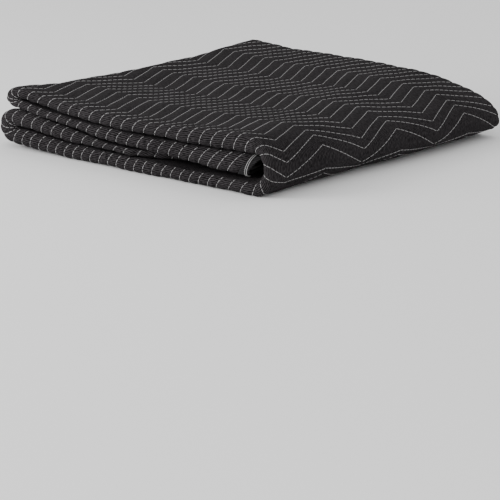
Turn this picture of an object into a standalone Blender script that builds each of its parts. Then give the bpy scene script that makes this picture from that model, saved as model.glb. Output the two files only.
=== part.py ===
"""Quilted moving pad, folded.

A padded blanket of about 1.83 m by 2.03 m, quilted with zigzag lines, is folded twice across its length
into four nested layers, then folded again in four sections, two gate folds closed like a book. The four
nested layers make one band, and the band's path starts at the bound end of the inner upper section, turns
round the upper lobe into the top section, goes round the big bight into the bottom section, and turns
round the lower lobe into the inner lower section. A tape binding closes all four edges of the blanket.
Metres, +Z up. The big bight faces +X and the four ridges face -Y.
"""

import math

import bmesh
import bpy

SHEET_THICKNESS = 0.0036
SECTION_GAP = 0.0007
LEAST_LAYER_GAP = 0.0003
PIECE_GAP = 0.0003
BINDING_WIDTH = 0.014

HALF_X = 0.2475
HALF_Y = 0.254
UPPER_PIVOT_X = -0.208
UPPER_LOBE_REACH = 0.020
LOWER_PIVOT_X = -0.2195
LOWER_LOBE_REACH = 0.0280
LOBE_CORNER_REACH = 0.010
LOBE_CORNER_LENGTH = 0.200
CENTRE_SHIFT_X = 0.0020
INNER_END_FRONT_X = 0.217
INNER_END_BACK_X = 0.186
INNER_END_SLANT = 0.012
SLANT_LENGTH = 0.140

# The big bight: where its slope starts and how high its nose is, at the front corner and at the back one.
# Its nose swells out past the middle.
SLOPE_START_FRONT_X = 0.190
SLOPE_START_BACK_X = 0.040
NOSE_FRONT_Z = 0.034
NOSE_BACK_Z = 0.022
NOSE_SWELL = 0.005
NOSE_SWELL_Y = 0.080
NOSE_SWELL_REACH = 0.270
SLOPE_POWER = 0.80
BIG_BIGHT_BAND = 0.0180

# The quilting: zigzag lines across the pad, each a groove between two puffs.
ZIGZAG_HALF_PERIOD = 0.079
ZIGZAG_AMPLITUDE = 0.0175
ZIGZAG_VALLEY_Y = -0.219
ZIGZAG_FADE = 0.030
BIG_BIGHT_ZIGZAG_SHARE = 0.4
QUILT_DEPTH = 0.0009

LAYERS = 4
OUTER_BIGHT_DEPTH = 0.45
OUTER_BIGHT_STEPS = 6
NESTED_BIGHT_STEPS = 3
NESTED_CLEARANCE = 0.0012
SIDE_BIGHT_DEPTH = 0.0045
LEAST_BIGHT_DEPTH = 0.0006
CLEAR_OF_BIGHT = 0.004
SHARED_KINKS = (0, 1, 3, 5)

# The zigzag's corners across the pad, and those of them where the hidden layers bend too.
KINK_YS = tuple(ZIGZAG_VALLEY_Y + ZIGZAG_HALF_PERIOD * i for i in range(6))
SHARED_YS = tuple(KINK_YS[i] for i in SHARED_KINKS)

# The height of the top face before the big bight's slope, in metres.
TOP_COLUMNS_X = (-0.2475, -0.124, 0.0, 0.124, 0.2475)
TOP_ROWS = (
    # y, height at each x of TOP_COLUMNS_X
    (-0.254, (0.094, 0.081, 0.073, 0.076, 0.086)),
    (-0.127, (0.086, 0.076, 0.072, 0.073, 0.078)),
    (0.000, (0.085, 0.075, 0.072, 0.073, 0.076)),
    (0.127, (0.088, 0.079, 0.077, 0.077, 0.077)),
    (0.254, (0.093, 0.087, 0.085, 0.082, 0.078)),
)

# The lines between the ridges on the -Y side, as heights of the three boundaries from the bottom up.
RIDGE_ROWS = (
    # x, bottom to inner lower, inner lower to inner upper, inner upper to top
    (-0.215, (0.0310, 0.0585, 0.0730)),
    (-0.130, (0.0250, 0.0465, 0.0615)),
    (-0.045, (0.0222, 0.0355, 0.0545)),
    (0.050, (0.0206, 0.0296, 0.0525)),
    (0.135, (0.0192, 0.0232, 0.0520)),
    (0.215, (0.0182, 0.0204, 0.0530)),
)
RIDGE_DEPTH = 0.090
LEAST_SECTION = 0.0110
CORNER_LIFT = 0.006
CORNER_LIFT_X = -0.100
CORNER_LIFT_Y = -0.110

# The band's path: the number of stitch lines' intervals in each part, and how many of them a hidden
# layer's facet spans.
PATH_PARTS = (
    # name, length along the outer face, stitch intervals, intervals in a hidden facet
    ("inner_upper", 0.418, 22, 2),
    ("upper_lobe", 0.060, 4, 1),
    ("top", 0.418, 22, 2),
    ("top_over_end", 0.0143, 1, 1),
    ("big_bight", 0.130, 8, 1),
    ("bottom_under_end", 0.0143, 1, 1),
    ("bottom", 0.430, 22, 2),
    ("lower_lobe", 0.080, 4, 1),
    ("inner_lower", 0.430, 22, 2),
)
SECTION_LEVEL = {
    "bottom": 0,
    "bottom_under_end": 0,
    "inner_lower": 1,
    "inner_upper": 2,
    "top": 3,
    "top_over_end": 3,
}
PATH_LENGTH = sum(part[1] for part in PATH_PARTS)


def ease(t):
    """A smooth step from 0 to 1."""
    t = min(1.0, max(0.0, t))
    return math.sin(0.5 * math.pi * t) ** 2


def curve_through(knots, values, x):
    """A smooth curve through the values at the knots."""
    last = len(knots) - 1
    x = min(knots[-1], max(knots[0], x))
    i = 0
    while i < last - 1 and x > knots[i + 1]:
        i += 1
    slopes = []
    for k in (i, i + 1):
        a, b = max(0, k - 1), min(last, k + 1)
        slopes.append((values[b] - values[a]) / (knots[b] - knots[a]))
    span = knots[i + 1] - knots[i]
    t = (x - knots[i]) / span
    return (
        values[i] * (1 - 3 * t * t + 2 * t**3)
        + values[i + 1] * (3 * t * t - 2 * t**3)
        + span * slopes[0] * (t - 2 * t * t + t**3)
        + span * slopes[1] * (t**3 - t * t)
    )


def towards_back(front, back, y):
    """A value that changes evenly from the front corner, at -Y, to the back one."""
    t = (y + HALF_Y) / (2 * HALF_Y)
    return front + (back - front) * t


def inner_end_x(y):
    """Where the two inner sections end, with their binding, and the big bight starts."""
    return towards_back(INNER_END_FRONT_X, INNER_END_BACK_X, y)


def nose_x(y):
    """How far the big bight reaches: it swells a little past the middle."""
    return HALF_X + NOSE_SWELL * ease(1 - abs(y - NOSE_SWELL_Y) / NOSE_SWELL_REACH)


def top_height(x, y):
    """The top face, with the big bight's slope down to its nose."""
    rows = [curve_through(TOP_COLUMNS_X, heights, x) for _, heights in TOP_ROWS]
    height = curve_through([row[0] for row in TOP_ROWS], rows, y)
    start = towards_back(SLOPE_START_FRONT_X, SLOPE_START_BACK_X, y)
    if x <= start:
        return height
    nose = towards_back(NOSE_FRONT_Z, NOSE_BACK_Z, y)
    along = min(1.0, (x - start) / (nose_x(y) - start))
    return nose + (height - nose) * (1 - along * along) ** (0.5 * SLOPE_POWER)


def inner_boundary(level, x, y):
    """The height between two sections at one of the ys that all layers share."""
    knots = [row[0] for row in RIDGE_ROWS]
    ridge = curve_through(knots, [row[1][level - 1] for row in RIDGE_ROWS], x)
    even = top_height(x, y) * level / 4
    return ridge + (even - ridge) * ease((y + HALF_Y) / RIDGE_DEPTH)


def boundary(level, x, y):
    """The height between two sections: level 0 is the bottom, 4 is the top."""
    if level == 0:
        side = ease((CORNER_LIFT_X - x) / (HALF_X + CORNER_LIFT_X))
        return CORNER_LIFT * side * ease((CORNER_LIFT_Y - y) / (HALF_Y + CORNER_LIFT_Y))
    if level == 4:
        return top_height(x, y)
    knots = (-HALF_Y, *SHARED_YS, HALF_Y)
    i = max(0, min(len(knots) - 2, sum(y > knot for knot in knots) - 1))
    first, last = inner_boundary(level, x, knots[i]), inner_boundary(level, x, knots[i + 1])
    return first + (last - first) * (y - knots[i]) / (knots[i + 1] - knots[i])


def place_on_path(s):
    """The part of the path that s lies in, and how far along that part it is, from 0 to 1."""
    start = 0.0
    for name, length, _, _ in PATH_PARTS:
        if s <= start + length or name == "inner_lower":
            return name, (s - start) / length
        start += length
    return None


def rib(s, y):
    """The band's inner and outer point at path length s, as (x, z) pairs."""
    name, f = place_on_path(s)
    end_x = inner_end_x(y)
    sheet_end_x = end_x - PIECE_GAP - BINDING_WIDTH
    half = 0.5 * SECTION_GAP
    if name == "inner_upper":
        x = sheet_end_x + (UPPER_PIVOT_X - sheet_end_x) * f
        slant = INNER_END_SLANT * ease(1 - s / SLANT_LENGTH)
        return (x, boundary(3, x, y) - half), (x - slant, boundary(2, x - slant, y) + half)
    if name in ("top", "top_over_end"):
        first, last = (UPPER_PIVOT_X, sheet_end_x) if name == "top" else (sheet_end_x, end_x)
        x = first + (last - first) * f
        return (x, boundary(3, x, y) + half), (x, boundary(4, x, y))
    if name in ("bottom", "bottom_under_end"):
        first, last = (sheet_end_x, LOWER_PIVOT_X) if name == "bottom" else (end_x, sheet_end_x)
        x = first + (last - first) * f
        return (x, boundary(1, x, y) - half), (x, boundary(0, x, y))
    if name == "inner_lower":
        x = LOWER_PIVOT_X + (sheet_end_x - LOWER_PIVOT_X) * f
        return (x, boundary(1, x, y) + half), (x, boundary(2, x, y) - half)
    across, up = math.sin(math.pi * f), math.cos(math.pi * f)
    corner = LOBE_CORNER_REACH * ease(1 - (y + HALF_Y) / LOBE_CORNER_LENGTH)
    if name == "upper_lobe":
        pivot = boundary(3, UPPER_PIVOT_X, y)
        lower = pivot - boundary(2, UPPER_PIVOT_X, y) - half
        upper = boundary(4, UPPER_PIVOT_X, y) - pivot
        height = lower if up > 0 else upper
        return (
            (UPPER_PIVOT_X - half * across, pivot - half * up),
            (UPPER_PIVOT_X - (UPPER_LOBE_REACH + corner) * across, pivot - height * up),
        )
    if name == "lower_lobe":
        pivot = boundary(1, LOWER_PIVOT_X, y)
        lower = pivot - boundary(0, LOWER_PIVOT_X, y)
        upper = boundary(2, LOWER_PIVOT_X, y) - half - pivot
        height = lower if up > 0 else upper
        return (
            (LOWER_PIVOT_X - half * across, pivot - half * up),
            (LOWER_PIVOT_X - (LOWER_LOBE_REACH + corner) * across, pivot - height * up),
        )
    ceiling = boundary(3, end_x, y) + half
    floor = boundary(1, end_x, y) - half
    middle = 0.5 * (ceiling + floor)
    nose = towards_back(NOSE_FRONT_Z, NOSE_BACK_Z, y)
    inner = (
        end_x + (HALF_X - BIG_BIGHT_BAND - end_x) * across,
        middle + 0.5 * (ceiling - floor) * up,
    )
    if f <= 0.5:
        start = towards_back(SLOPE_START_FRONT_X, SLOPE_START_BACK_X, y)
        reach = nose_x(y) - start
        first = math.asin((end_x - start) / reach)
        x = start + reach * math.sin(first + (0.5 * math.pi - first) * 2 * f)
        return inner, (x, top_height(x, y))
    return inner, (end_x + (nose_x(y) - end_x) * across, nose * (1 + up))


def ridge_setback(level, x):
    """How far a section's bight stays back from the front, where its neighbours leave it no room."""
    knots = (-HALF_Y, *SHARED_YS)
    rooms = [boundary(level + 1, x, y) - boundary(level, x, y) for y in knots]
    if rooms[0] >= LEAST_SECTION:
        return 0.0
    for i in range(1, len(knots)):
        if rooms[i] >= LEAST_SECTION:
            share = (LEAST_SECTION - rooms[i - 1]) / (rooms[i] - rooms[i - 1])
            return knots[i - 1] + (knots[i] - knots[i - 1]) * share - knots[0]
    return knots[-1] - knots[0]


def front_edge(s):
    """The y of the band's bight on the -Y side."""
    name, f = place_on_path(s)
    if name == "upper_lobe":
        first, last = ridge_setback(2, UPPER_PIVOT_X), ridge_setback(3, UPPER_PIVOT_X)
    elif name == "lower_lobe":
        first, last = ridge_setback(0, LOWER_PIVOT_X), ridge_setback(1, LOWER_PIVOT_X)
    elif name == "big_bight":
        first = last = 0.0
    else:
        level = SECTION_LEVEL[name]
        x = rib(s, -HALF_Y)[0][0]
        first = last = ridge_setback(level, x)
    return -HALF_Y + first + (last - first) * ease(f)


def zigzag(v):
    """How far a stitch line is ahead of its mean at the distance v across the pad."""
    turns = (v - ZIGZAG_VALLEY_Y) / ZIGZAG_HALF_PERIOD
    inside = turns % 2.0
    return ZIGZAG_AMPLITUDE * (1 - 2 * min(inside, 2 - inside))


def zigzag_share(s):
    """The zigzag fades at the two small lobes and at the ends, and is smaller on the big bight."""
    start, away, share = 0.0, PATH_LENGTH, 1.0
    for name, length, _, _ in PATH_PARTS:
        beyond = max(start - s, s - start - length, 0.0)
        if name.endswith("lobe"):
            away = min(away, beyond)
        elif name == "big_bight":
            share = 1 - (1 - BIG_BIGHT_ZIGZAG_SHARE) * ease(1 - beyond / ZIGZAG_FADE)
        start += length
    return share * ease(min(away, s, PATH_LENGTH - s) / ZIGZAG_FADE)


def layer_face(slot, upper):
    """A layer's height in the band as shares of the band's and of the sheet's thickness."""
    share = slot / (LAYERS - 1)
    return share, (1 - share if upper else -share)


def straight_run(slot, upper, ys, raised=False):
    band, sheet = layer_face(slot, upper)
    return [
        {"from": "fixed", "y": y, "out": 0.0, "band": band, "sheet": sheet, "raised": raised}
        for y in ys
    ]


def bight(side, first, last, steps, depth, raised=False):
    """An arc between two layer faces. depth names which of the nested bights it is."""
    points = []
    for i in range(steps + 1):
        angle = math.pi * i / steps
        mix = 0.5 * (1 - math.cos(angle))
        points.append(
            {
                "from": side,
                "y": depth,
                "out": math.sin(angle),
                "band": first[0] + (last[0] - first[0]) * mix,
                "sheet": first[1] + (last[1] - first[1]) * mix,
                "raised": raised and i > 0,
            }
        )
    return points


def sheet_outline(side_y):
    """The cross-section of the four nested layers, as the sheet's outer face and its inner face.

    Both run from the free edge of layer 0, over the outer bight to layer 3, back through layer 2, and
    round the nested bight to the free edge of layer 1.
    """
    ys, back = list(SHARED_YS), list(reversed(SHARED_YS))
    outer = straight_run(0, False, [side_y, *back])
    outer += bight(
        "front", layer_face(0, False), layer_face(3, True), OUTER_BIGHT_STEPS, "outer", True
    )
    outer += straight_run(3, True, KINK_YS, True)
    outer += bight("side", layer_face(3, True), layer_face(2, False), NESTED_BIGHT_STEPS, "outer")
    outer += straight_run(2, False, back)
    outer += bight("front", layer_face(2, False), layer_face(1, True), 1, "innermost")
    outer += straight_run(1, True, [*ys, side_y])
    inner = straight_run(0, True, [side_y, *back])
    inner += bight(
        "front", layer_face(0, True), layer_face(3, False), NESTED_BIGHT_STEPS, "inside"
    )
    inner += straight_run(3, False, ys)
    inner += bight("side", layer_face(3, False), layer_face(2, True), 1, "innermost")
    inner += straight_run(2, True, back)
    inner += bight(
        "front", layer_face(2, True), layer_face(1, False), NESTED_BIGHT_STEPS, "nested"
    )
    inner += straight_run(1, False, [*ys, side_y])
    return outer, inner


def tape_outline(slot):
    """The cross-section of the tape on one free edge of the nested layers."""
    ys = [HALF_Y - BINDING_WIDTH, HALF_Y - PIECE_GAP]
    return straight_run(slot, False, ys), straight_run(slot, True, ys)


def band_at(s, y):
    inner, outer = rib(s, y)
    across = (outer[0] - inner[0], outer[1] - inner[1])
    return inner, across, math.hypot(*across)


def sheet_in(thick):
    """The sheet's thickness in a band of this thickness, which presses it where there is little room."""
    return min(SHEET_THICKNESS, (thick - (LAYERS - 1) * LEAST_LAYER_GAP) / LAYERS)


def cloth_point(s, place, on_line):
    """One point of the folded sheet."""
    y = place["y"]
    edge = front_edge(s)
    thick = band_at(s, edge)[2]
    depth = OUTER_BIGHT_DEPTH * thick
    if place["from"] == "front":
        pressed = sheet_in(thick)
        inside = depth - pressed
        nested = inside - NESTED_CLEARANCE * pressed / SHEET_THICKNESS
        reach = {"outer": depth, "inside": inside, "nested": nested, "innermost": 0.0}[place["y"]]
        y = edge + depth - reach * place["out"]
        across_cloth = edge + depth - 0.5 * thick * (1 - place["band"]) * math.pi
    elif place["from"] == "side":
        reach = SIDE_BIGHT_DEPTH if place["y"] == "outer" else LEAST_BIGHT_DEPTH
        y = HALF_Y - SIDE_BIGHT_DEPTH + reach * place["out"]
        across_cloth = y
    else:
        y = across_cloth = max(y, edge + depth + CLEAR_OF_BIGHT)
    if place["raised"]:
        s += zigzag(across_cloth) * zigzag_share(s)
    inner, across, thick = band_at(s, y)
    height = place["band"] * thick + place["sheet"] * sheet_in(thick)
    name = place_on_path(s)[0]
    flat = name.startswith("bottom") and place["from"] == "fixed"
    if place["raised"] and on_line and not flat:
        arch = math.pi * place["band"]
        if place["from"] == "front":
            height += QUILT_DEPTH * math.cos(arch)
            y += QUILT_DEPTH * place["out"]
        else:
            height -= QUILT_DEPTH
    x = CENTRE_SHIFT_X + inner[0] + across[0] / thick * height
    return (x, y, inner[1] + across[1] / thick * height)


def stations():
    """Path lengths of the mesh's rings, with which are stitch lines and which hidden layers use."""
    rings = [(0.0, True, True)]
    start = 0.0
    for _, length, intervals, skip in PATH_PARTS:
        for i in range(1, 2 * intervals + 1):
            on_line = i % 2 == 0
            rings.append((start + length * i / (2 * intervals), on_line, i % (2 * skip) == 0))
        start += length
    return rings


def end_cap(form, outer, inner):
    """Closes an end with triangles that go from one face of the sheet to the other."""
    i = j = 0
    while i < len(outer) - 1 or j < len(inner) - 1:
        ahead = (outer[i + 1].co - inner[j].co).length if i < len(outer) - 1 else math.inf
        below = (outer[i].co - inner[j + 1].co).length if j < len(inner) - 1 else math.inf
        if ahead <= below:
            form.faces.new((outer[i], outer[i + 1], inner[j]))
            i += 1
        else:
            form.faces.new((outer[i], inner[j + 1], inner[j]))
            j += 1


def swept(name, faces, rings):
    """A closed mesh of a sheet's two faces carried along the path."""
    outer, inner = faces
    mesh = bpy.data.meshes.new(name)
    form = bmesh.new()
    grid = []
    for place in [*outer, *reversed(inner)]:
        column = {}
        for i, (s, on_line, main) in enumerate(rings):
            if main or place["raised"]:
                column[i] = form.verts.new(cloth_point(s, place, on_line))
        grid.append(column)
    main_rings = [i for i, ring in enumerate(rings) if ring[2]]
    for j, column in enumerate(grid):
        beside = grid[(j + 1) % len(grid)]
        for first, last in zip(main_rings, main_rings[1:]):
            here = [i for i in range(first, last + 1) if i in column]
            there = [i for i in range(first, last + 1) if i in beside]
            if here == there:
                for a, b in zip(here, here[1:]):
                    form.faces.new((column[a], column[b], beside[b], beside[a]))
            else:
                form.faces.new([column[i] for i in here] + [beside[i] for i in reversed(there)])
    for ring in (0, len(rings) - 1):
        loop = [column[ring] for column in grid]
        end_cap(form, loop[: len(outer)], loop[: len(outer) - 1 : -1])
    bmesh.ops.recalc_face_normals(form, faces=form.faces)
    bmesh.ops.triangulate(form, faces=form.faces, ngon_method="EAR_CLIP")
    form.to_mesh(mesh)
    form.free()
    return bpy.data.objects.new(name, mesh)


def finish(name, colour, roughness):
    material = bpy.data.materials.new(name)
    material.use_nodes = True
    shader = material.node_tree.nodes["Principled BSDF"]
    shader.inputs["Base Color"].default_value = (*colour, 1.0)
    shader.inputs["Roughness"].default_value = roughness
    shader.inputs["Metallic"].default_value = 0.0
    return material


for leftover in list(bpy.data.objects):
    bpy.data.objects.remove(leftover)

folded_pad = bpy.data.collections.new("moving_pad")
bpy.context.scene.collection.children.link(folded_pad)

cloth = finish("quilted_cloth", (0.030, 0.029, 0.031), 0.92)
tape = finish("binding_tape", (0.045, 0.045, 0.048), 0.80)

sheet_edge_y = HALF_Y - BINDING_WIDTH - PIECE_GAP
all_rings = stations()
main_only = [ring for ring in all_rings if ring[2]]

pieces = [(swept("quilted_pad", sheet_outline(sheet_edge_y), all_rings), cloth)]

for name, slot in (("edge_binding_outer", 0), ("edge_binding_inner", 1)):
    pieces.append((swept(name, tape_outline(slot), main_only), tape))

for name, near, far in (
    ("end_binding_upper", -PIECE_GAP, -PIECE_GAP - BINDING_WIDTH),
    ("end_binding_lower", PATH_LENGTH + PIECE_GAP, PATH_LENGTH + PIECE_GAP + BINDING_WIDTH),
):
    end_rings = [(near, False, True), (far, False, True)]
    pieces.append((swept(name, sheet_outline(HALF_Y - PIECE_GAP), end_rings), tape))

for piece, material in pieces:
    piece.data.materials.append(material)
    folded_pad.objects.link(piece)
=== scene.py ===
import math

import bmesh
import bpy
import numpy as np
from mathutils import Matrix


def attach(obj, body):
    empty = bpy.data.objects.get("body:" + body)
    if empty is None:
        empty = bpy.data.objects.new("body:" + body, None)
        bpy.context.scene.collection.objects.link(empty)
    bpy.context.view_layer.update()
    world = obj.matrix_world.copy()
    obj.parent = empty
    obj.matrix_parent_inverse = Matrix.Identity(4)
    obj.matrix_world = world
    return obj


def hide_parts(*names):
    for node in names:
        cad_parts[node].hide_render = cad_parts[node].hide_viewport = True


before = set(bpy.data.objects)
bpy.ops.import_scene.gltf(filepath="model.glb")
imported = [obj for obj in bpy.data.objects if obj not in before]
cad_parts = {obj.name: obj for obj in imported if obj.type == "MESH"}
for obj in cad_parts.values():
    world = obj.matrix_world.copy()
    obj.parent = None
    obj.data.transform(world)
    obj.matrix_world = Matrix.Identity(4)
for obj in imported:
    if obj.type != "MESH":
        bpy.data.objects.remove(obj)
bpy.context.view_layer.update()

# The quilted pad. One padded sheet, two woven cotton-blend faces with batting between, quilted through with
# zigzag lines 19 mm apart. It is folded into four nested layers, and that band is folded again in four
# sections: inner upper, upper lobe, top, big bight, bottom, lower lobe, inner lower. Sizes are in metres.
SHEET = 0.0036
HALF_X, HALF_Y = 0.2475, 0.254
CENTRE_SHIFT_X = 0.0020
UPPER_PIVOT_X, LOWER_PIVOT_X = -0.208, -0.2195
UPPER_LOBE, LOWER_LOBE = 0.020, 0.028
LOBE_CORNER, LOBE_CORNER_LENGTH = 0.010, 0.200
END_FRONT_X, END_BACK_X = 0.217, 0.186
END_SLANT, END_SLANT_LENGTH = 0.012, 0.140
TAPE = 0.0143
HALF_GAP = 0.00035
LEAST_SECTION = 0.011
BIGHT_SHARE = 0.45
SIDE_BIGHT, SIDE_BIGHT_INSIDE = 0.0045, 0.0006
ZIGZAG_STEP, ZIGZAG_SIZE = 0.079, 0.0175
KINK_YS = [-0.219 + ZIGZAG_STEP * i for i in range(6)]
SHARED_YS = [KINK_YS[i] for i in (0, 1, 3, 5)]
STEPS_PER_LINE = 6
QUILT_DEPTH = 0.0013
TOP_X = [-0.2475, -0.124, 0.0, 0.124, 0.2475]
TOP_Y = [-0.254, -0.127, 0.0, 0.127, 0.254]
TOP_HEIGHTS = [
    # for each of TOP_Y, the top face's height at each of TOP_X
    [0.094, 0.081, 0.073, 0.076, 0.086],
    [0.086, 0.076, 0.072, 0.073, 0.078],
    [0.085, 0.075, 0.072, 0.073, 0.076],
    [0.088, 0.079, 0.077, 0.077, 0.077],
    [0.093, 0.087, 0.085, 0.082, 0.078],
]
RIDGE_X = [-0.215, -0.130, -0.045, 0.050, 0.135, 0.215]
RIDGE_HEIGHTS = {
    # boundary between two sections: its height on the ridged side at each of RIDGE_X
    1: [0.0310, 0.0250, 0.0222, 0.0206, 0.0192, 0.0182],
    2: [0.0585, 0.0465, 0.0355, 0.0296, 0.0232, 0.0204],
    3: [0.0730, 0.0615, 0.0545, 0.0525, 0.0520, 0.0530],
}
PARTS = [
    # name, length, stitch intervals, intervals in a hidden facet, section level
    ("inner_upper", 0.418, 22, 2, 2),
    ("upper_lobe", 0.060, 4, 1, None),
    ("top", 0.418, 22, 2, 3),
    ("top_over_end", 0.0143, 1, 1, 3),
    ("big_bight", 0.130, 7, 1, 3),
    ("bottom_under_end", 0.0143, 1, 1, 0),
    ("bottom", 0.430, 22, 2, 0),
    ("lower_lobe", 0.080, 4, 1, None),
    ("inner_lower", 0.430, 22, 2, 1),
]
STARTS = np.cumsum([0.0] + [part[1] for part in PARTS])
LENGTH = STARTS[-1]


def ease(t):
    return np.sin(0.5 * np.pi * np.clip(t, 0, 1)) ** 2


def curve_through(knots, values, x):
    """A smooth curve through the values at the knots; values may change from point to point."""
    knots = np.asarray(knots)
    last = len(knots) - 1
    x = np.clip(x, knots[0], knots[-1])
    values = np.stack([np.broadcast_to(v, x.shape) for v in values])
    i = np.clip(np.searchsorted(knots, x) - 1, 0, last - 1)
    at = np.arange(x.size).reshape(x.shape)

    def value(k):
        return values.reshape(last + 1, -1)[k.ravel(), at.ravel()].reshape(x.shape)

    def slope(k):
        a, b = np.maximum(k - 1, 0), np.minimum(k + 1, last)
        return (value(b) - value(a)) / (knots[b] - knots[a])

    span = knots[i + 1] - knots[i]
    t = (x - knots[i]) / span
    near = value(i) * (1 - 3 * t**2 + 2 * t**3) + span * slope(i) * (t - 2 * t**2 + t**3)
    return near + value(i + 1) * (3 * t**2 - 2 * t**3) + span * slope(i + 1) * (t**3 - t**2)


def towards_back(front, back, y):
    return front + (back - front) * (y + HALF_Y) / (2 * HALF_Y)


# The big bight: where its slope starts, how high its nose is, and how far it swells past the middle
SLOPE_START_FRONT_X, SLOPE_START_BACK_X = 0.190, 0.040
NOSE_FRONT_Z, NOSE_BACK_Z = 0.034, 0.022
NOSE_SWELL, NOSE_SWELL_Y, NOSE_SWELL_REACH = 0.005, 0.080, 0.270
BIGHT_BAND, SLOPE_ROUND = 0.018, 0.4


def slope_start(y):
    return towards_back(SLOPE_START_FRONT_X, SLOPE_START_BACK_X, y)


def nose_height(y):
    return towards_back(NOSE_FRONT_Z, NOSE_BACK_Z, y)


def nose_x(y):
    return HALF_X + NOSE_SWELL * ease(1 - np.abs(y - NOSE_SWELL_Y) / NOSE_SWELL_REACH)


RIDGE_DEPTH = 0.090
CORNER_LIFT, CORNER_LIFT_X, CORNER_LIFT_Y = 0.006, -0.100, -0.110
KNOT_YS = np.array([-HALF_Y, *SHARED_YS, HALF_Y])
GRID_X = np.linspace(-0.29, 0.26, 1101)
TOP_ROWS = [curve_through(TOP_X, row, GRID_X) for row in TOP_HEIGHTS]


def top_height(x, y):
    """The top face, with the big bight's slope down to its nose."""
    height = curve_through(TOP_Y, [np.interp(x, GRID_X, row) for row in TOP_ROWS], y)
    start, nose = slope_start(y), nose_height(y)
    along = np.clip((x - start) / (nose_x(y) - start), 0, 1)
    return nose + (height - nose) * (1 - along**2) ** SLOPE_ROUND


def section_rows(level):
    """A boundary's heights over GRID_X, at each of KNOT_YS."""
    ridge = curve_through(RIDGE_X, RIDGE_HEIGHTS[level], GRID_X)
    rows = []
    for knot in KNOT_YS:
        even = top_height(GRID_X, np.full(GRID_X.shape, knot)) * level / 4
        rows.append(ridge + (even - ridge) * ease((knot + HALF_Y) / RIDGE_DEPTH))
    return rows


SECTION_ROWS = {level: section_rows(level) for level in (1, 2, 3)}


def boundary(level, x, y):
    """The height between two sections: level 0 is the bottom, 4 is the top."""
    x, y = np.broadcast_arrays(np.asarray(x, float), np.asarray(y, float))
    if level == 0:
        side = ease((CORNER_LIFT_X - x) / (HALF_X + CORNER_LIFT_X))
        return CORNER_LIFT * side * ease((CORNER_LIFT_Y - y) / (HALF_Y + CORNER_LIFT_Y))
    if level == 4:
        return top_height(x, y)
    heights = np.stack([np.interp(x, GRID_X, row) for row in SECTION_ROWS[level]])
    i = np.clip(np.searchsorted(KNOT_YS, y) - 1, 0, len(KNOT_YS) - 2)
    first = np.take_along_axis(heights, i[None], 0)[0]
    last = np.take_along_axis(heights, i[None] + 1, 0)[0]
    return first + (last - first) * (y - KNOT_YS[i]) / (KNOT_YS[i + 1] - KNOT_YS[i])


def part_rib(name, f, s, y):
    """Inner and outer points (x, z) of the band within one part of the path."""
    end_x = towards_back(END_FRONT_X, END_BACK_X, y)
    sheet_end_x, gap = end_x - TAPE, HALF_GAP
    if name == "inner_upper":
        x = sheet_end_x + (UPPER_PIVOT_X - sheet_end_x) * f
        slant = END_SLANT * ease(1 - s / END_SLANT_LENGTH)
        return x, boundary(3, x, y) - gap, x - slant, boundary(2, x - slant, y) + gap
    if name in ("top", "top_over_end"):
        a, b = (UPPER_PIVOT_X, sheet_end_x) if name == "top" else (sheet_end_x, end_x)
        x = a + (b - a) * f
        return x, boundary(3, x, y) + gap, x, boundary(4, x, y)
    if name in ("bottom", "bottom_under_end"):
        a, b = (sheet_end_x, LOWER_PIVOT_X) if name == "bottom" else (end_x, sheet_end_x)
        x = a + (b - a) * f
        return x, boundary(1, x, y) - gap, x, boundary(0, x, y)
    if name == "inner_lower":
        x = LOWER_PIVOT_X + (sheet_end_x - LOWER_PIVOT_X) * f
        return x, boundary(1, x, y) + gap, x, boundary(2, x, y) - gap
    across, up = np.sin(np.pi * f), np.cos(np.pi * f)
    corner = LOBE_CORNER * ease(1 - (y + HALF_Y) / LOBE_CORNER_LENGTH)
    if name == "upper_lobe":
        pivot_x, reach, levels = UPPER_PIVOT_X, UPPER_LOBE + corner, (2, 3, 4)
    elif name == "lower_lobe":
        pivot_x, reach, levels = LOWER_PIVOT_X, LOWER_LOBE + corner, (0, 1, 2)
    else:
        ceiling, floor = boundary(3, end_x, y) + gap, boundary(1, end_x, y) - gap
        nose = nose_x(y)
        x = end_x + (HALF_X - BIGHT_BAND - end_x) * across
        z = 0.5 * (ceiling + floor) + 0.5 * (ceiling - floor) * up
        start = slope_start(y)
        first = np.arcsin((end_x - start) / (nose - start))
        over_x = start + (nose - start) * np.sin(first + (0.5 * np.pi - first) * 2 * f)
        under_x = end_x + (nose - end_x) * across
        over = f <= 0.5
        return (
            x,
            z,
            np.where(over, over_x, under_x),
            np.where(over, top_height(over_x, y), nose_height(y) * (1 + up)),
        )
    bottom, pivot, top = (boundary(level, pivot_x, y) for level in levels)
    bottom = bottom + (gap if levels[0] else 0)
    top = top - (0 if levels[2] == 4 else gap)
    height = np.where(up > 0, pivot - bottom, top - pivot)
    return pivot_x - gap * across, pivot - gap * up, pivot_x - reach * across, pivot - height * up


def rib(s, y):
    """The band's inner point and the step from it to the outer point, at path length s."""
    s, y = np.broadcast_arrays(np.asarray(s, float), np.asarray(y, float))
    points = np.zeros((4, *s.shape))
    k = np.clip(np.searchsorted(STARTS, s) - 1, 0, len(PARTS) - 1)
    for index, part in enumerate(PARTS):
        here = k == index
        if here.any():
            f = (s[here] - STARTS[index]) / part[1]
            points[:, here] = np.stack(
                np.broadcast_arrays(*part_rib(part[0], f, s[here], y[here]))
            )
    across = points[2:] - points[:2]
    return points[:2], across, np.hypot(*across)


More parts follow.
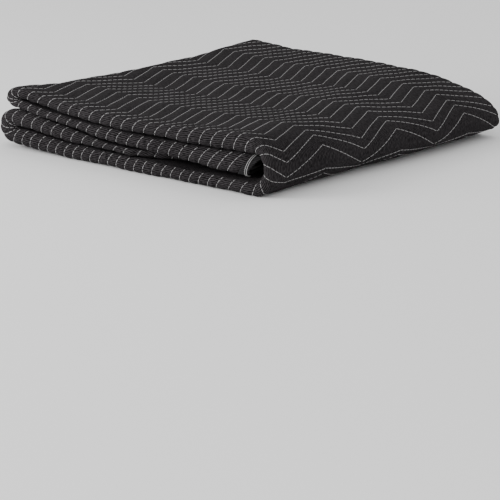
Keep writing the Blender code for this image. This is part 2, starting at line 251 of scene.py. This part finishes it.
def ridge_setback(level, x):
    """How far a section's bight stays back from the front, where its neighbours leave it no room."""
    knots = [-HALF_Y, *SHARED_YS]
    rooms = [boundary(level + 1, x, y) - boundary(level, x, y) for y in knots]
    back = np.zeros(np.shape(x))
    found = rooms[0] >= LEAST_SECTION
    for i in range(1, len(knots)):
        here = ~found & (rooms[i] >= LEAST_SECTION)
        widening = np.where(here, rooms[i] - rooms[i - 1], 1)
        share = (LEAST_SECTION - rooms[i - 1]) / widening
        back = np.where(here, knots[i - 1] + (knots[i] - knots[i - 1]) * share + HALF_Y, back)
        found = found | here
    return back


def edge_along(s):
    """The y of the band's bight on the -Y side."""
    edge = np.full(s.shape, -HALF_Y)
    k = np.clip(np.searchsorted(STARTS, s) - 1, 0, len(PARTS) - 1)
    for index, part in enumerate(PARTS):
        here = k == index
        if part[0].endswith("lobe"):
            levels, x = ((2, 3), UPPER_PIVOT_X) if "upper" in part[0] else ((0, 1), LOWER_PIVOT_X)
            first, last = (ridge_setback(level, np.array([x]))[0] for level in levels)
            edge[here] += first + (last - first) * ease((s[here] - STARTS[index]) / part[1])
        elif part[0] != "big_bight" and here.any():
            x = rib(s[here], np.full(here.sum(), -HALF_Y))[0][0]
            edge[here] += ridge_setback(part[4], x)
    return edge


GRID_S = np.linspace(-0.03, LENGTH + 0.03, 4001)
EDGE_ROW = edge_along(GRID_S)


def front_edge(s):
    return np.interp(s, GRID_S, EDGE_ROW)


# Four lines on the big bight: their places in the pattern, how far from the upper lobe they lie, and how
# much of the zigzag they have. The one that rolls under the bight runs straighter.
BIGHT_LINES = [STARTS[4] + PARTS[4][1] / PARTS[4][2] * i for i in range(4)]
BIGHT_REACHED = [0.453, 0.473, 0.494, 0.514]
BIGHT_ZIGZAG = [1, 1, 0.35, 1]
BOTTOM_REACHED = 0.612


def line_table(y):
    """For one y: where each place of the sewing pattern lies, as path lengths over GRID_S."""
    inner, across, _ = rib(GRID_S, np.full(GRID_S.shape, y))
    outer = inner + across
    laid = np.concatenate([[0], np.cumsum(np.hypot(*np.diff(outer, axis=1)))])
    laid -= np.interp(STARTS[2], GRID_S, laid)
    start, upper_lobe_end, lower_lobe_start, end = np.interp(
        [GRID_S[0], STARTS[2], STARTS[7], GRID_S[-1]], GRID_S, laid
    )
    places = [GRID_S[0], STARTS[2], *BIGHT_LINES, STARTS[6], STARTS[7], GRID_S[-1]]
    reached = [start, upper_lobe_end, *BIGHT_REACHED, BOTTOM_REACHED, lower_lobe_start, end]
    moved = np.interp(np.interp(GRID_S, places, reached), laid, GRID_S)
    fixed = (GRID_S < STARTS[2]) | (GRID_S > STARTS[7])
    return np.where(fixed, GRID_S, moved)


TABLE_YS = np.linspace(-HALF_Y, HALF_Y, 15)
LINE_TABLES = [line_table(y) for y in TABLE_YS]


def on_line(s, y):
    """The path length at which the sewing pattern's place s lies, at this y."""
    s, y = np.broadcast_arrays(s, np.clip(y, -HALF_Y, HALF_Y))
    i = np.clip(np.searchsorted(TABLE_YS, y) - 1, 0, len(TABLE_YS) - 2)
    t = (y - TABLE_YS[i]) / (TABLE_YS[i + 1] - TABLE_YS[i])
    moved = np.zeros(s.shape)
    for k in np.unique(i):
        here = i == k
        first = np.interp(s[here], GRID_S, LINE_TABLES[k])
        last = np.interp(s[here], GRID_S, LINE_TABLES[k + 1])
        moved[here] = first + (last - first) * t[here]
    return moved


def zigzag(s, v):
    """How far a stitch line is ahead of its mean."""
    turns = ((v - KINK_YS[0]) / ZIGZAG_STEP) % 2.0
    share = np.interp(s, BIGHT_LINES, BIGHT_ZIGZAG)
    return ZIGZAG_SIZE * share * (1 - 2 * np.minimum(turns, 2 - turns))


LAYER_ROOM = 0.0009
CLEARANCE, SIDE_ARC, FLOOR_MARGIN = 0.004, 0.004, 0.004
PUFF_ROUND, SWAY_SUNK = 0.6, 0.0005


def pressed(thick):
    """The sheet's thickness, less where the band leaves it little room."""
    return np.minimum(SHEET, (thick - LAYER_ROOM) / 4)


def sway(s, v):
    """The slack unevenness of the outer face."""
    return (
        0.0005 * np.sin(31 * s + 23 * v + 0.4)
        + 0.0004 * np.sin(57 * s - 41 * v + 1.9)
        + 0.0003 * np.sin(113 * s + 67 * v)
    )


def fold_points(s, place, phase=0.0, lift=0.0):
    """Points of the folded sheet in metres, and their place (u, v) on the flat cloth.

    place says where the point is in the band: from which side its y is measured, the y or the reach, the
    angle round a bight, and its height as shares of the band's and of the sheet's thickness.
    """
    s = np.asarray(s, float)
    edge = front_edge(s)
    thick = rib(s, edge)[2]
    depth, sheet = BIGHT_SHARE * thick, pressed(thick)
    out = np.sin(place["angle"])
    inside = depth - sheet
    # how far each face of the layers reaches round a bight
    reach = {
        "outer": depth,
        "inside": inside,
        "nested": inside - sheet / 3,
        "innermost": 0.0,
        "side": SIDE_BIGHT,
        "side_inner": SIDE_BIGHT_INSIDE,
    }
    if place["from"] == "front":
        y = edge + depth - reach[place["y"]] * out
        # round a ridge, the cloth runs along the arc
        v = edge + depth - 0.5 * thick * (np.pi - place["angle"])
    elif place["from"] == "side":
        y = HALF_Y - SIDE_BIGHT + reach[place["y"]] * out
        v = HALF_Y - SIDE_BIGHT + SIDE_ARC * (place["angle"] + np.zeros(s.shape))
    else:
        y = np.maximum(place["y"], edge + depth + CLEARANCE * place["clear"])
        v = y
    raised = place["raised"]
    if raised:
        s = on_line(s + zigzag(s, v), y)
    inner, across, thick = rib(s, y)
    height = place["band"] * thick + place["sheet"] * pressed(thick)
    if raised:
        puff = np.abs(np.sin(np.pi * phase)) ** PUFF_ROUND
        at_floor = (s > STARTS[5] + FLOOR_MARGIN) & (s < STARTS[7]) & (place["from"] == "fixed")
        rise = np.where(at_floor, lift, lift - QUILT_DEPTH * (1 - puff) + (sway(s, v) - SWAY_SUNK))
        if place["from"] == "fixed":
            height = height + rise
        elif place["from"] == "front":
            height = height - rise * np.cos(np.pi * place["band"])
            y = y - rise * out
        else:
            height = height + rise * np.cos(place["angle"])
            y = y + rise * out
    x = CENTRE_SHIFT_X + inner[0] + across[0] / thick * height
    z = inner[1] + across[1] / thick * height
    # keep the cloth on the floor it rests on
    z = np.maximum(z, 0.0)
    return np.stack([x, y + np.zeros(s.shape), z], axis=-1), np.stack([s, v], axis=-1)


def layer_face(slot, upper):
    """The shares of the band's and of the sheet's thickness at which a layer's face lies."""
    share = slot / 3
    return share, (1 - share if upper else -share)


FANNED_ROWS, FANNED_STEP = 8, 0.8


def run(slot, upper, ys, raised=False):
    """Places straight across a layer's face. The first of a raised row are fanned out behind the bight."""
    band, sheet = layer_face(slot, upper)
    keys = ("from", "y", "angle", "band", "sheet", "raised")
    rows = [dict(zip(keys, ("fixed", y, 0.0, band, sheet, raised))) for y in ys]
    for i, row in enumerate(rows):
        fanned = raised and ys[0] < ys[-1] and i < FANNED_ROWS
        row["clear"] = 1 + (i if fanned else 0) * FANNED_STEP
    return rows


def bight(side, first, last, steps, reach, raised=False):
    """Places round a bight, from the first layer face to the last."""
    rows = []
    for i in range(steps + 1):
        angle = math.pi * i / steps
        mix = 0.5 * (1 - math.cos(angle))
        band, sheet = (a + (b - a) * mix for a, b in zip(first, last))
        keys = ("from", "y", "angle", "band", "sheet", "raised")
        rows.append(dict(zip(keys, (side, reach, angle, band, sheet, raised))))
    return rows


CROWN_FRONT_Y = -0.236


def outline(side_y, fine):
    """The outer and the inner face of the four nested layers, from one free edge to the other."""
    ys, back = SHARED_YS, SHARED_YS[::-1]
    crown = np.linspace(CROWN_FRONT_Y, HALF_Y - SIDE_BIGHT, 66 if fine else 9)[:-1]
    outer = run(0, False, [side_y, *back])
    outer += bight("front", layer_face(0, False), layer_face(3, True), 16 if fine else 8, "outer", True)
    outer += run(3, True, list(crown), True)
    outer += bight("side", layer_face(3, True), layer_face(2, False), 6, "side")
    for place in outer[-7:-1]:
        place["raised"] = fine
    outer += run(2, False, back)
    outer += bight("front", layer_face(2, False), layer_face(1, True), 1, "innermost")
    outer += run(1, True, [*ys, side_y])
    inner = run(0, True, [side_y, *back])
    inner += bight("front", layer_face(0, True), layer_face(3, False), 6, "inside")
    inner += run(3, False, ys)
    inner += bight("side", layer_face(3, False), layer_face(2, True), 1, "side_inner")
    inner += run(2, True, back)
    inner += bight("front", layer_face(2, True), layer_face(1, False), 5, "nested")
    inner += run(1, False, [*ys, side_y])
    return outer, inner


def swept(name, both_faces, rings, column_rings):
    """A closed mesh: each column of the outline uses its own rings, and faces join at shared ones."""
    outer, inner = both_faces
    columns = [*outer, *reversed(inner)]
    coords, uvs, index, count = [], [], [], 0
    for place in columns:
        used = column_rings(place)
        s = np.array([rings[i][0] for i in used])
        phase = np.array([rings[i][1] for i in used])
        points, flat = fold_points(s, place, phase)
        coords.append(points)
        uvs.append(flat)
        index.append(dict(zip(used, range(count, count + len(used)))))
        count += len(used)
    faces = []
    for j, here in enumerate(index):
        there = index[(j + 1) % len(index)]
        common = sorted(set(here) & set(there))
        for a, b in zip(common, common[1:]):
            near = [here[i] for i in range(a, b + 1) if i in here]
            far = [there[i] for i in range(a, b + 1) if i in there]
            faces.append((near + far[::-1])[::-1])
    for ring in (0, len(rings) - 1):
        loop = [column[ring] for column in index]
        i, j = 0, 0
        top, low = loop[: len(outer)], loop[: len(outer) - 1 : -1]
        every = np.concatenate(coords)
        while i < len(top) - 1 or j < len(low) - 1:
            ahead = np.linalg.norm(every[top[min(i + 1, len(top) - 1)]] - every[low[j]])
            below = np.linalg.norm(every[top[i]] - every[low[min(j + 1, len(low) - 1)]])
            if j == len(low) - 1 or (i < len(top) - 1 and ahead <= below):
                face, i = (top[i], top[i + 1], low[j]), i + 1
            else:
                face, j = (top[i], low[j + 1], low[j]), j + 1
            faces.append(face if ring == 0 else face[::-1])
    mesh = bpy.data.meshes.new(name)
    mesh.from_pydata(np.concatenate(coords).tolist(), [], faces)
    layer = mesh.uv_layers.new(name="cloth")
    loops = np.zeros(len(mesh.loops), np.int32)
    mesh.loops.foreach_get("vertex_index", loops)
    layer.data.foreach_set("uv", np.concatenate(uvs)[loops].ravel())
    skin = bmesh.new()
    skin.from_mesh(mesh)
    bmesh.ops.recalc_face_normals(skin, faces=skin.faces)
    skin.to_mesh(mesh)
    skin.free()
    mesh.shade_smooth()
    mesh.validate()
    piece = bpy.data.objects.new(name, mesh)
    bpy.context.scene.collection.objects.link(piece)
    return piece


rings, main_rings = [(0.0, 0.0)], {0}
for start, (name, length, lines, skip, _) in zip(STARTS, PARTS):
    for i in range(1, lines * STEPS_PER_LINE + 1):
        if i % (STEPS_PER_LINE * skip) == 0:
            main_rings.add(len(rings))
        rings.append((start + length * i / (lines * STEPS_PER_LINE), (i % STEPS_PER_LINE) / STEPS_PER_LINE))
main_rings = sorted(main_rings)
every_ring = list(range(len(rings)))
SEEN_FROM, SEEN_TO = STARTS[1] - 0.03, STARTS[8] + 0.03
crown_rings = [
    i
    for i in every_ring
    if i in set(main_rings) or i % STEPS_PER_LINE == 0 or SEEN_FROM < rings[i][0] < SEEN_TO
]


def pad_rings(place):
    if not place["raised"]:
        return main_rings
    return crown_rings if place["from"] == "fixed" else every_ring


pad = swept("pad_sheet", outline(HALF_Y - TAPE, True), rings, pad_rings)


def woven_group():
    """Ribs and slubs of a woven face, from the cloth's flat metres: a shade and a height."""
    tree = bpy.data.node_groups.new("woven_face", "ShaderNodeTree")
    tree.interface.new_socket("Cloth", in_out="INPUT", socket_type="NodeSocketVector")
    tree.interface.new_socket("Shade", in_out="OUTPUT", socket_type="NodeSocketFloat")
    tree.interface.new_socket("Height", in_out="OUTPUT", socket_type="NodeSocketFloat")
    start, end = tree.nodes.new("NodeGroupInput"), tree.nodes.new("NodeGroupOutput")

    def noise(stretch, scale, detail):
        mapping = tree.nodes.new("ShaderNodeMapping")
        mapping.inputs["Scale"].default_value = stretch
        tree.links.new(start.outputs["Cloth"], mapping.inputs["Vector"])
        node = tree.nodes.new("ShaderNodeTexNoise")
        node.inputs["Scale"].default_value = scale
        node.inputs["Detail"].default_value = detail
        tree.links.new(mapping.outputs["Vector"], node.inputs["Vector"])
        return node.outputs["Fac"]

    def blend(a, b, share):
        node = tree.nodes.new("ShaderNodeMix")
        node.inputs["Factor"].default_value = share
        tree.links.new(a, node.inputs["A"])
        tree.links.new(b, node.inputs["B"])
        return node.outputs["Result"]

    wave = tree.nodes.new("ShaderNodeTexWave")
    wave.wave_type, wave.bands_direction = "BANDS", "Y"
    wave.inputs["Scale"].default_value = 112
    wave.inputs["Distortion"].default_value = 1.6
    wave.inputs["Detail"].default_value = 2
    wave.inputs["Detail Scale"].default_value = 2.2
    tree.links.new(start.outputs["Cloth"], wave.inputs["Vector"])
    slubs = noise((190, 560, 1), 1.0, 1)
    fine = noise((1300, 1300, 1), 1.0, 2)
    broad = noise((9, 14, 1), 1.0, 3)
    thread_marks = blend(slubs, wave.outputs["Fac"], 0.32)
    tree.links.new(blend(blend(thread_marks, fine, 0.10), broad, 0.10), end.inputs["Shade"])
    tree.links.new(blend(thread_marks, fine, 0.25), end.inputs["Height"])
    return tree


woven = woven_group()


def cloth_material(name, dark, light, bump, sheen):
    material = bpy.data.materials.new(name)
    material.use_nodes = True
    nodes, links = material.node_tree.nodes, material.node_tree.links
    shader = nodes["Principled BSDF"]
    shader.inputs["Roughness"].default_value = 0.93
    shader.inputs["Specular IOR Level"].default_value = 0.04
    shader.inputs["Sheen Weight"].default_value = sheen
    shader.inputs["Sheen Roughness"].default_value = 0.6
    place = nodes.new("ShaderNodeUVMap")
    place.uv_map = "cloth"
    face = nodes.new("ShaderNodeGroup")
    face.node_tree = woven
    links.new(place.outputs["UV"], face.inputs["Cloth"])
    ramp = nodes.new("ShaderNodeValToRGB")
    low, high = ramp.color_ramp.elements
    low.position, low.color = 0.40, (*dark, 1)
    high.position, high.color = 0.60, (*light, 1)
    links.new(face.outputs["Shade"], ramp.inputs["Fac"])
    links.new(ramp.outputs["Color"], shader.inputs["Base Color"])
    relief = nodes.new("ShaderNodeBump")
    relief.inputs["Strength"].default_value = bump
    relief.inputs["Distance"].default_value = 0.0006
    links.new(face.outputs["Height"], relief.inputs["Height"])
    links.new(relief.outputs["Normal"], shader.inputs["Normal"])
    return material


pad.data.materials.append(
    cloth_material("charcoal_weave", (0.0015, 0.0013, 0.0014), (0.0390, 0.0355, 0.0376), 0.6, 0.0)
)
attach(pad, "root")
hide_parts("quilted_pad")

# The end bindings. A folded woven tape, 14 mm wide, wraps each short edge of the sheet and is held by two
# rows of stitching. The upper one shows at the front corner, following the bight of the four layers.
TAPE_GAP = 0.0003
tape_finish = cloth_material("binding_weave", (0.006, 0.0058, 0.006), (0.022, 0.021, 0.022), 0.35, 0.02)
for name, node, near, far in (
    ("end_tape_upper", "end_binding_upper", -TAPE_GAP, -TAPE),
    ("end_tape_lower", "end_binding_lower", LENGTH + TAPE_GAP, LENGTH + TAPE),
):
    end_rings = [(near + (far - near) * i / 6, 0.5) for i in range(7)]
    tape = swept(name, outline(HALF_Y - TAPE_GAP, False), end_rings, lambda place: list(range(7)))
    tape.data.materials.append(tape_finish)
    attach(tape, "root")
    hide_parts(node)

# The long edge bindings. The same tape runs along both long edges of the sheet, so it follows the whole
# path of the fold on the +Y side, inside the bight of the two outer layers.
for name, node, slot_index in (
    ("edge_tape_outer", "edge_binding_outer", 0),
    ("edge_tape_inner", "edge_binding_inner", 1),
):
    ys = list(np.linspace(HALF_Y - TAPE + TAPE_GAP, HALF_Y - TAPE_GAP, 4))
    faces = run(slot_index, False, ys), run(slot_index, True, ys)
    tape_rings = [(rings[i][0], 0.5) for i in main_rings]
    tape = swept(name, faces, tape_rings, lambda place: list(range(len(tape_rings))))
    tape.data.materials.append(tape_finish)
    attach(tape, "root")
    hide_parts(node)

# The quilting thread. A pale thread locks the two faces together along every zigzag line, in stitches of
# about 6 mm with a dip between them. All needles sew at once, so the stitches of the lines stand in rows.
STITCH, STITCH_GAP, THREAD = 0.0059, 0.0013, 0.00034


def thread_tree():
    tree = bpy.data.node_groups.new("thread_on_paths", "GeometryNodeTree")
    tree.interface.new_socket("Geometry", in_out="INPUT", socket_type="NodeSocketGeometry")
    radius = tree.interface.new_socket("Thread radius", in_out="INPUT", socket_type="NodeSocketFloat")
    finish = tree.interface.new_socket("Thread", in_out="INPUT", socket_type="NodeSocketMaterial")
    tree.interface.new_socket("Geometry", in_out="OUTPUT", socket_type="NodeSocketGeometry")
    nodes, links = tree.nodes, tree.links
    start, end = nodes.new("NodeGroupInput"), nodes.new("NodeGroupOutput")
    to_curve = nodes.new("GeometryNodeMeshToCurve")
    circle = nodes.new("GeometryNodeCurvePrimitiveCircle")
    circle.inputs["Resolution"].default_value = 5
    to_mesh = nodes.new("GeometryNodeCurveToMesh")
    to_mesh.inputs["Fill Caps"].default_value = True
    smooth = nodes.new("GeometryNodeSetShadeSmooth")
    real = nodes.new("GeometryNodeRealizeInstances")
    coat = nodes.new("GeometryNodeSetMaterial")
    links.new(start.outputs["Geometry"], to_curve.inputs["Mesh"])
    links.new(start.outputs["Thread radius"], circle.inputs["Radius"])
    links.new(to_curve.outputs["Curve"], to_mesh.inputs["Curve"])
    links.new(circle.outputs["Curve"], to_mesh.inputs["Profile Curve"])
    links.new(to_mesh.outputs["Mesh"], smooth.inputs["Geometry"])
    links.new(smooth.outputs["Geometry"], real.inputs["Geometry"])
    links.new(real.outputs["Geometry"], coat.inputs["Geometry"])
    links.new(start.outputs["Thread"], coat.inputs["Material"])
    links.new(coat.outputs["Geometry"], end.inputs["Geometry"])
    return tree, radius.identifier, finish.identifier


threads, radius_socket, finish_socket = thread_tree()


def sewn(name, paths, radius, material):
    """Thread pieces along a list of short point runs."""
    mesh = bpy.data.meshes.new(name + "_paths")
    points, edges = [], []
    for path in paths:
        edges += [(len(points) + i, len(points) + i + 1) for i in range(len(path) - 1)]
        points += [tuple(p) for p in path]
    mesh.from_pydata(points, edges, [])
    guide = bpy.data.objects.new(name + "_paths", mesh)
    bpy.context.scene.collection.objects.link(guide)
    modifier = guide.modifiers.new("thread", "NODES")
    modifier.node_group = threads
    modifier[radius_socket] = radius
    modifier[finish_socket] = material
    evaluated = guide.evaluated_get(bpy.context.evaluated_depsgraph_get())
    made = bpy.data.meshes.new_from_object(evaluated)
    made.name = name
    bpy.data.objects.remove(guide)
    piece = bpy.data.objects.new(name, made)
    bpy.context.scene.collection.objects.link(piece)
    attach(piece, "root")
    return piece


STITCH_ORIGIN, SHORTEST_SHARE = -0.4, 0.3


def stitches_on(low, high, across, pitch, length):
    """Cuts a line into stitches, at the same places across the sheet on every line.

    low and high are the same line, in the cloth and just above it, and across is how far it has run.
    """
    paths = []
    first = math.floor((across[0] - STITCH_ORIGIN) / pitch) * pitch + STITCH_ORIGIN
    for at in np.arange(first, across[-1], pitch):
        start, end = max(at, across[0]), min(at + length, across[-1])
        if end - start < SHORTEST_SHARE * length:
            continue
        spots = start + (end - start) * np.array([0.0, 0.1, 0.5, 0.9, 1.0])
        above = np.stack([np.interp(spots, across, high[:, k]) for k in range(3)], axis=1)
        within = np.stack([np.interp(spots, across, low[:, k]) for k in range(3)], axis=1)
        rise = np.array([0.0, 0.8, 1.0, 0.8, 0.0])[:, None]
        paths.append(within + (above - within) * rise)
    return paths


def round_the_bight(angle, raised):
    """Places on the outer face of a ridge, at each angle."""
    band = 0.5 * (1 - np.cos(angle))
    return {"from": "front", "y": "outer", "angle": angle, "band": band, "sheet": 0.0, "raised": raised}


thread_finish = bpy.data.materials.new("quilting_thread")
thread_finish.use_nodes = True
shader = thread_finish.node_tree.nodes["Principled BSDF"]
shader.inputs["Roughness"].default_value = 0.7
shader.inputs["Sheen Weight"].default_value = 0.2
spun = thread_finish.node_tree.nodes.new("ShaderNodeTexNoise")
spun.inputs["Scale"].default_value = 900
where = thread_finish.node_tree.nodes.new("ShaderNodeTexCoord")
thread_finish.node_tree.links.new(where.outputs["Object"], spun.inputs["Vector"])
shades = thread_finish.node_tree.nodes.new("ShaderNodeValToRGB")
low, high = shades.color_ramp.elements
low.position, low.color = 0.3, (0.24, 0.235, 0.235, 1)
high.position, high.color = 0.7, (0.46, 0.455, 0.455, 1)
thread_finish.node_tree.links.new(spun.outputs["Fac"], shades.inputs["Fac"])
thread_finish.node_tree.links.new(shades.outputs["Color"], shader.inputs["Base Color"])

BIGHT_ROOM, BIGHT_POINTS, FACE_POINTS = 0.010, 48, 300
SUNK, RAISED = -0.0004, 0.00035
LEAST_RUN, LEAST_GROWTH = 0.0004, 0.001
line_starts = [rings[i][0] for i in range(STEPS_PER_LINE, len(rings) - 1, STEPS_PER_LINE)]
ridge_paths, crown_paths = [], []
for s in line_starts:
    both = []
    seen = SEEN_FROM < s < SEEN_TO
    angle = np.linspace(0.06 * np.pi, np.pi, BIGHT_POINTS)
    y = np.linspace(CROWN_FRONT_Y, HALF_Y - 0.005, FACE_POINTS)
    edge_line = round_the_bight(angle, True)
    for lift in (SUNK, RAISED):
        line = fold_points(np.full(angle.shape, s), edge_line, 0.0, lift)[0]
        if seen:
            face = {"from": "fixed", "y": y, "angle": 0.0, "band": 1.0, "clear": 1}
            face_line = dict(edge_line, **face)
            line = np.concatenate([line, fold_points(np.full(y.shape, s), face_line, 0.0, lift)[0]])
        both.append(line)
    steps = np.linalg.norm(np.diff(both[1], axis=0), axis=1)
    round_bight = np.concatenate([[0], np.cumsum(steps[: BIGHT_POINTS - 1])])
    across = round_bight - round_bight[-1] - HALF_Y + BIGHT_ROOM
    if seen:
        # on the face it runs as y does, but always on from the bight's end
        least = across[-1] + LEAST_RUN + LEAST_GROWTH * (y - CROWN_FRONT_Y)
        across = np.concatenate([across, np.maximum(y, least)])
    cut = stitches_on(both[0], both[1], across, STITCH + STITCH_GAP, STITCH)
    (crown_paths if seen else ridge_paths).extend(cut)
half = len(crown_paths) // 2
for name, paths in (
    ("stitches_crown_a", crown_paths[:half]),
    ("stitches_crown_b", crown_paths[half:]),
    ("stitches_ridges", ridge_paths),
):
    piece = sewn(name, paths, THREAD, thread_finish)
    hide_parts("quilted_pad")

# The binding's stitching. Two close rows of the same thread run along the tape's inner edge, and hold it on
# the sheet. They show on the upper end tape, at the front corner.
angle = np.linspace(0.03 * np.pi, 0.97 * np.pi, 60)
TAPE_ROWS = (-0.0098, -0.0128)
TAPE_STITCH, TAPE_PITCH, TAPE_THREAD = 0.0029, 0.0036, 0.0004
tape_paths = []
for s in TAPE_ROWS:
    both = []
    for lift in (-TAPE_THREAD, TAPE_THREAD):
        points = fold_points(np.full(angle.shape, s), round_the_bight(angle, False))[0]
        points[:, 1] -= lift * np.sin(angle)
        both.append(points)
    run_length = np.concatenate([[0], np.cumsum(np.linalg.norm(np.diff(both[1], axis=0), axis=1))])
    tape_paths += stitches_on(*both, run_length, TAPE_PITCH, TAPE_STITCH)
tape_stitches = sewn("stitches_tape", tape_paths, TAPE_THREAD, thread_finish)
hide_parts("end_binding_upper")

# The studio. A plain pale floor that runs on behind, one large soft key from the ridged side, a weaker fill
# from the right, and an even pale surround, as in the photo.
floor_mesh = bpy.data.meshes.new("studio_floor")
floor_mesh.from_pydata([(-6, -6, 0), (6, -6, 0), (6, 6, 0), (-6, 6, 0)], [], [(0, 1, 2, 3)])
floor = bpy.data.objects.new("studio_floor", floor_mesh)
bpy.context.scene.collection.objects.link(floor)
paper = bpy.data.materials.new("pale_paper")
paper.use_nodes = True
paper.node_tree.nodes["Principled BSDF"].inputs["Base Color"].default_value = (0.9, 0.9, 0.9, 1)
paper.node_tree.nodes["Principled BSDF"].inputs["Roughness"].default_value = 0.9
floor.data.materials.append(paper)

world = bpy.data.worlds.new("surround")
bpy.context.scene.world = world
world.use_nodes = True
world.node_tree.nodes["Background"].inputs["Color"].default_value = (1.0, 1.0, 1.0, 1)
world.node_tree.nodes["Background"].inputs["Strength"].default_value = 1.0

for name, energy, size, spot in (
    ("key", 70, 1.4, (-1.5, -2.2, 0.9)),
    ("fill", 14, 1.6, (1.9, -2.1, 0.9)),
):
    light = bpy.data.lights.new(name, "AREA")
    light.energy, light.size = energy, size
    lamp = bpy.data.objects.new(name, light)
    lamp.location = spot
    aim = -lamp.location
    lamp.rotation_euler = aim.to_track_quat("-Z", "Y").to_euler()
    bpy.context.scene.collection.objects.link(lamp)

# The camera stands where the photo was taken from, fitted to the pad's corners.
camera_data = bpy.data.cameras.new("camera")
SENSOR_WIDTH, FOCAL_PIXELS, PICTURE_PIXELS = 36, 2235, 500
camera_data.sensor_width = SENSOR_WIDTH
camera_data.lens = SENSOR_WIDTH * FOCAL_PIXELS / PICTURE_PIXELS
camera_data.clip_end = 50
camera = bpy.data.objects.new("camera", camera_data)
camera.location = (2.00795, -2.34720, 0.66882)
camera.rotation_euler = (math.radians(75), 0, math.radians(40.57))
bpy.context.scene.collection.objects.link(camera)
bpy.context.scene.camera = camera
